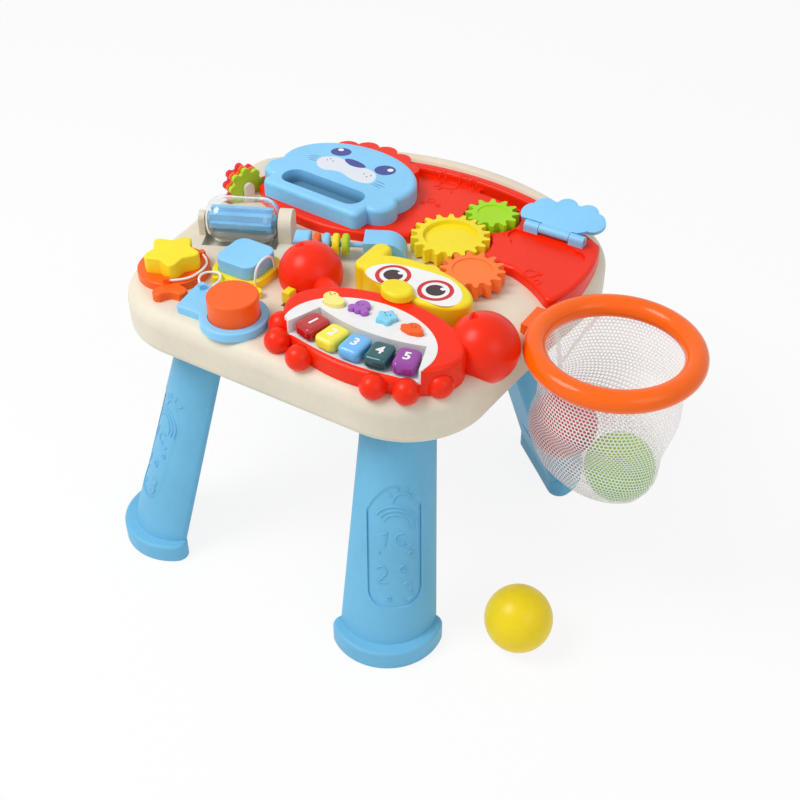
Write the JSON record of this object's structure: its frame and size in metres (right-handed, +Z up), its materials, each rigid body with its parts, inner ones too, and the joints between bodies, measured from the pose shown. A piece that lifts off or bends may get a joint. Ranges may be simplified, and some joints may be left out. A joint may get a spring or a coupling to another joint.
{
  "type": "activity table",
  "caption": "Four-legged toddler play table with spinning gears, press keys, lift-out shape blocks, a see-through drum, turning beads, a hinged flap and a ball hoop with a net.",
  "frame": {"origin": "middle of the footprint of the whole set, on the floor", "axes": "+Z up, +Y towards the far edge with the carry bar, +X towards the ball hoop"},
  "size_m": [0.527, 0.4188, 0.294],
  "materials": {
    "cream": "satin moulded plastic",
    "red": "satin moulded plastic",
    "light_blue": "satin moulded plastic",
    "yellow": "satin moulded plastic",
    "orange": "satin moulded plastic",
    "green": "satin moulded plastic",
    "lime": "satin moulded plastic",
    "white": "satin moulded plastic",
    "key_red": "glossy moulded plastic",
    "key_yellow": "glossy moulded plastic",
    "key_blue": "glossy moulded plastic",
    "key_teal": "glossy moulded plastic",
    "key_purple": "glossy moulded plastic",
    "pale_yellow": "satin moulded plastic",
    "purple": "satin moulded plastic",
    "crimson": "satin moulded plastic",
    "clear": "clear moulded plastic",
    "net": "woven",
    "cord": "woven",
    "steel": "plain steel",
    "dark": "satin moulded plastic",
    "board": "satin moulded plastic",
    "pad": "moulded rubber"
  },
  "bodies": {
    "table": {"tray_top_shell": "cream", "tray_bottom_cover": "cream", "deck_panel": "red", "leg_front_left": "light_blue", "leg_front_right": "light_blue", "leg_back_left": "light_blue", "leg_back_right": "light_blue", "face_plate": "light_blue", "crab_body": "red", "crab_panel": "white", "fish_body": "yellow", "bead_posts": "light_blue", "bead_rod": "light_blue", "drum_posts": "cream", "disc_stand": "cream", "gear_pins": "white", "flap_hinge": "light_blue", "flap_pin": "steel", "star_frame": "orange", "square_frame": "yellow", "circle_frame": "light_blue", "tether_star": "cord", "tether_square": "cord", "tether_circle": "cord", "hoop_ring": "orange", "hoop_net": "net", "circuit_board": "board", "contact_pad": "pad", "speaker": "dark", "battery_door": "cream", "cover_screws": "steel"},
    "drum": {"drum_shell": "clear", "drum_paddle": "light_blue"},
    "bead_orange": {"bead_orange": "orange"},
    "bead_light_blue": {"bead_light_blue": "light_blue"},
    "bead_yellow": {"bead_yellow": "yellow"},
    "bead_lime": {"bead_lime": "lime"},
    "disc_red": {"disc_red": "crimson"},
    "disc_orange": {"disc_orange": "orange"},
    "disc_lime": {"disc_lime": "lime"},
    "gear_yellow": {"gear_yellow": "yellow"},
    "gear_orange": {"gear_orange": "orange"},
    "gear_green": {"gear_green": "green"},
    "flap": {"flap": "light_blue"},
    "star_block": {"star_block": "yellow"},
    "square_block": {"square_block": "light_blue"},
    "circle_block": {"circle_block": "orange"},
    "key_red": {"key_red": "key_red"},
    "key_yellow": {"key_yellow": "key_yellow"},
    "key_light_blue": {"key_light_blue": "key_blue"},
    "key_teal": {"key_teal": "key_teal"},
    "key_purple": {"key_purple": "key_purple"},
    "button_yellow": {"button_yellow": "pale_yellow"},
    "button_purple": {"button_purple": "purple"},
    "button_blue": {"button_blue": "light_blue"},
    "button_orange": {"button_orange": "orange"},
    "slide_switch": {"slide_switch": "yellow"},
    "ball_red": {"ball_red": "red"},
    "ball_green": {"ball_green": "lime"},
    "ball_yellow": {"ball_yellow": "yellow"}
  },
  "joints": [
    {"name": "gear_yellow_spin", "type": "hinge", "parent": "table", "child": "gear_yellow", "pos_m": [-0.00662, 0.06036, 0.2648], "axis": [0, 0, 1], "continuous": true},
    {"name": "gear_orange_spin", "type": "hinge", "parent": "table", "child": "gear_orange", "pos_m": [0.03809, 0.02107, 0.2648], "axis": [0, 0, 1], "continuous": true},
    {"name": "gear_green_spin", "type": "hinge", "parent": "table", "child": "gear_green", "pos_m": [0.00687, 0.1145, 0.2648], "axis": [0, 0, 1], "continuous": true},
    {"name": "bead_orange_spin", "type": "hinge", "parent": "table", "child": "bead_orange", "pos_m": [-0.10226, -0.01285, 0.269], "axis": [0.8829, 0.4695, 0], "continuous": true},
    {"name": "bead_light_blue_spin", "type": "hinge", "parent": "table", "child": "bead_light_blue", "pos_m": [-0.09466, -0.00881, 0.269], "axis": [0.8829, 0.4695, 0], "continuous": true},
    {"name": "bead_yellow_spin", "type": "hinge", "parent": "table", "child": "bead_yellow", "pos_m": [-0.08707, -0.00477, 0.269], "axis": [0.8829, 0.4695, 0], "continuous": true},
    {"name": "bead_lime_spin", "type": "hinge", "parent": "table", "child": "bead_lime", "pos_m": [-0.07948, -0.00074, 0.269], "axis": [0.8829, 0.4695, 0], "continuous": true},
    {"name": "drum_spin", "type": "hinge", "parent": "table", "child": "drum", "pos_m": [-0.18165, -0.01779, 0.271], "axis": [0.9063, 0.4226, 0], "continuous": true},
    {"name": "disc_red_spin", "type": "hinge", "parent": "table", "child": "disc_red", "pos_m": [-0.23517, 0.04698, 0.265], "axis": [0.9272, -0.3746, 0], "continuous": true},
    {"name": "disc_orange_spin", "type": "hinge", "parent": "table", "child": "disc_orange", "pos_m": [-0.22998, 0.04488, 0.265], "axis": [0.9272, -0.3746, 0], "continuous": true},
    {"name": "disc_lime_spin", "type": "hinge", "parent": "table", "child": "disc_lime", "pos_m": [-0.22479, 0.04278, 0.265], "axis": [0.9272, -0.3746, 0], "continuous": true},
    {"name": "flap_hinge_turn", "type": "hinge", "parent": "table", "child": "flap", "pos_m": [0.07175, 0.11332, 0.271], "axis": [1, 0, 0], "range_deg": [-5, 153]},
    {"name": "key_red_press", "type": "slide", "parent": "table", "child": "key_red", "axis": [0, 0, -1], "range_m": [0, 0.0025], "stiffness_N_per_m": 300, "springref_m": -0.002},
    {"name": "key_yellow_press", "type": "slide", "parent": "table", "child": "key_yellow", "axis": [0, 0, -1], "range_m": [0, 0.0025], "stiffness_N_per_m": 300, "springref_m": -0.002},
    {"name": "key_light_blue_press", "type": "slide", "parent": "table", "child": "key_light_blue", "axis": [0, 0, -1], "range_m": [0, 0.0025], "stiffness_N_per_m": 300, "springref_m": -0.002},
    {"name": "key_teal_press", "type": "slide", "parent": "table", "child": "key_teal", "axis": [0, 0, -1], "range_m": [0, 0.0025], "stiffness_N_per_m": 300, "springref_m": -0.002},
    {"name": "key_purple_press", "type": "slide", "parent": "table", "child": "key_purple", "axis": [0, 0, -1], "range_m": [0, 0.0025], "stiffness_N_per_m": 300, "springref_m": -0.002},
    {"name": "button_yellow_press", "type": "slide", "parent": "table", "child": "button_yellow", "axis": [0, 0, -1], "range_m": [0, 0.002], "stiffness_N_per_m": 300, "springref_m": -0.002},
    {"name": "button_purple_press", "type": "slide", "parent": "table", "child": "button_purple", "axis": [0, 0, -1], "range_m": [0, 0.002], "stiffness_N_per_m": 300, "springref_m": -0.002},
    {"name": "button_blue_press", "type": "slide", "parent": "table", "child": "button_blue", "axis": [0, 0, -1], "range_m": [0, 0.002], "stiffness_N_per_m": 300, "springref_m": -0.002},
    {"name": "button_orange_press", "type": "slide", "parent": "table", "child": "button_orange", "axis": [0, 0, -1], "range_m": [0, 0.002], "stiffness_N_per_m": 300, "springref_m": -0.002},
    {"name": "slide_switch_slide", "type": "slide", "parent": "table", "child": "slide_switch", "axis": [0, -1, 0], "range_m": [0, 0.007]},
    {"name": "star_block_lift", "type": "slide", "parent": "table", "child": "star_block", "axis": [0, 0, 1], "range_m": [0, 0.03]},
    {"name": "square_block_lift", "type": "slide", "parent": "table", "child": "square_block", "axis": [0, 0, 1], "range_m": [0, 0.03]},
    {"name": "circle_block_lift", "type": "slide", "parent": "table", "child": "circle_block", "axis": [0, 0, 1], "range_m": [0, 0.03]},
    {"name": "ball_red_lift", "type": "slide", "parent": "table", "child": "ball_red", "axis": [0.3765, -0.1258, 0.9178], "range_m": [0, 0.15]},
    {"name": "ball_green_lift", "type": "slide", "parent": "table", "child": "ball_green", "axis": [-0.1735, 0.0522, 0.9835], "range_m": [0, 0.055]},
    {"name": "ball_yellow_lift", "type": "slide", "parent": "table", "child": "ball_yellow", "axis": [0, 0, 1], "range_m": [0, 0.12]}
  ],
  "couplings": [
    {"joint": "gear_orange_spin", "follows": "gear_yellow_spin", "ratio": -1.2857},
    {"joint": "gear_green_spin", "follows": "gear_yellow_spin", "ratio": -1.5}
  ]
}
